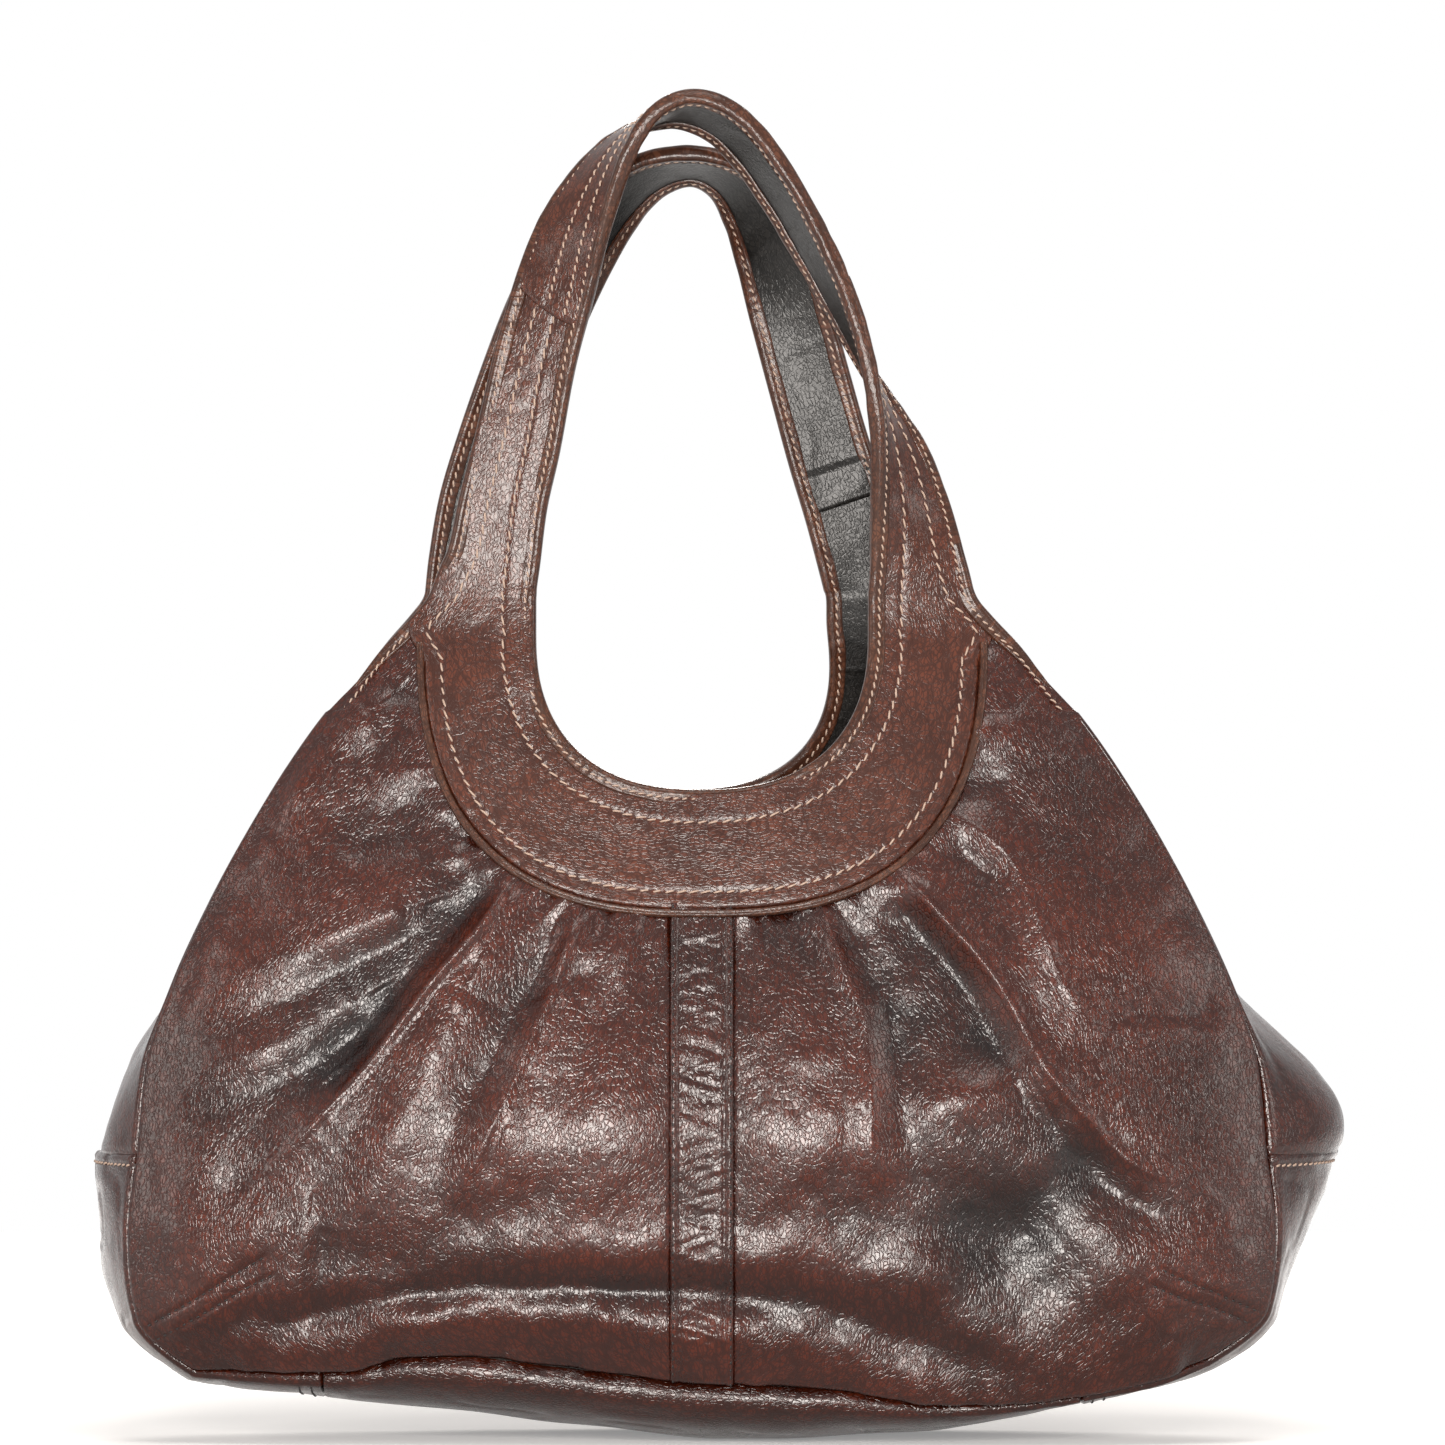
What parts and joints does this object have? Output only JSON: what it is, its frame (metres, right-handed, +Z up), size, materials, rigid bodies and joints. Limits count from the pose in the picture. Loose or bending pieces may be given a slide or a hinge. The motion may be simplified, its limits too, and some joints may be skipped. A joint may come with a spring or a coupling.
{
  "type": "hobo bag",
  "caption": "Soft leather hobo shoulder bag: pleated body under a U-shaped yoke, bound edges, twisting shoulder straps, lined inside with pockets, a zip and a snap tab.",
  "frame": {"origin": "on the floor, under the middle of the bag", "axes": "+Z up, -Y towards the front of the bag, +X to the right as seen from the front"},
  "size_m": [0.4184, 0.1384, 0.4509],
  "materials": {
    "brown_leather": "glossy dark brown leather, creased and softly grained",
    "binding_leather": "thin glossy brown leather, folded over the raw edges and stitched",
    "dark_leather": "smooth dark grey leather on the inner faces",
    "lining_fabric": "plain woven brown lining",
    "stiffener_board": "plain board",
    "zip_tape": "woven tape",
    "zip_metal": "antique brass",
    "snap_metal": "antique brass"
  },
  "bodies": {
    "bag": {"base_board": "stiffener_board", "base_panel": "brown_leather", "front_facing": "dark_leather", "front_panel_left": "brown_leather", "front_panel_right": "brown_leather", "front_piping": "binding_leather", "front_rim_binding": "binding_leather", "front_shoulder_binding_left": "binding_leather", "front_shoulder_binding_right": "binding_leather", "front_strip": "brown_leather", "front_yoke": "brown_leather", "gusset_binding_left": "binding_leather", "gusset_binding_right": "binding_leather", "gusset_lower_left": "brown_leather", "gusset_lower_right": "brown_leather", "gusset_upper_left": "brown_leather", "gusset_upper_right": "brown_leather", "lining_floor": "lining_fabric", "lining_front": "lining_fabric", "lining_rear": "lining_fabric", "lining_side_left": "lining_fabric", "lining_side_right": "lining_fabric", "phone_pocket": "lining_fabric", "rear_facing": "dark_leather", "rear_panel_left": "brown_leather", "rear_panel_right": "brown_leather", "rear_piping": "binding_leather", "rear_rim_binding": "binding_leather", "rear_shoulder_binding_left": "binding_leather", "rear_shoulder_binding_right": "binding_leather", "rear_strip": "brown_leather", "rear_yoke": "brown_leather", "slip_pocket": "lining_fabric", "zip_pocket_bag": "lining_fabric", "zip_stops": "zip_metal", "zip_tape_lower": "zip_tape", "zip_tape_upper": "zip_tape", "zip_teeth_lower": "zip_metal", "zip_teeth_upper": "zip_metal"},
    "front_handle": {"front_strap_arm_left": "brown_leather", "front_strap_arm_right": "brown_leather", "front_strap_binding_inner": "binding_leather", "front_strap_binding_outer": "binding_leather", "front_strap_lining": "dark_leather", "front_strap_top": "brown_leather"},
    "rear_handle": {"rear_strap_arm_left": "brown_leather", "rear_strap_arm_right": "brown_leather", "rear_strap_binding_inner": "binding_leather", "rear_strap_binding_outer": "binding_leather", "rear_strap_lining": "dark_leather", "rear_strap_top": "brown_leather"},
    "front_tab": {"front_snap_half": "snap_metal", "front_snap_tab": "dark_leather"},
    "rear_tab": {"rear_snap_half": "snap_metal", "rear_snap_tab": "dark_leather"},
    "slider": {"zip_slider": "zip_metal"},
    "puller": {"zip_pull": "zip_metal"}
  },
  "joints": [
    {"name": "front_handle_swing", "type": "hinge", "parent": "bag", "child": "front_handle", "pos_m": [0, -0.02275, 0.281], "axis": [1, 0, 0], "range_deg": [0, 130]},
    {"name": "rear_handle_swing", "type": "hinge", "parent": "bag", "child": "rear_handle", "pos_m": [0, 0.02275, 0.281], "axis": [1, 0, 0], "range_deg": [-130, 0]},
    {"name": "front_tab_fold", "type": "hinge", "parent": "bag", "child": "front_tab", "pos_m": [0, -0.03447, 0.204], "axis": [1, 0, 0], "range_deg": [0, 90]},
    {"name": "rear_tab_fold", "type": "hinge", "parent": "bag", "child": "rear_tab", "pos_m": [0, 0.03643, 0.1971], "axis": [1, 0, 0], "range_deg": [-90, 0]},
    {"name": "zip_slide", "type": "slide", "parent": "bag", "child": "slider", "axis": [1, 0, 0], "range_m": [-0.12, 0]},
    {"name": "zip_pull_swing", "type": "hinge", "parent": "slider", "child": "puller", "pos_m": [0.06, 0.04542, 0.14247], "axis": [1, 0, 0], "range_deg": [-150, 0]}
  ]
}
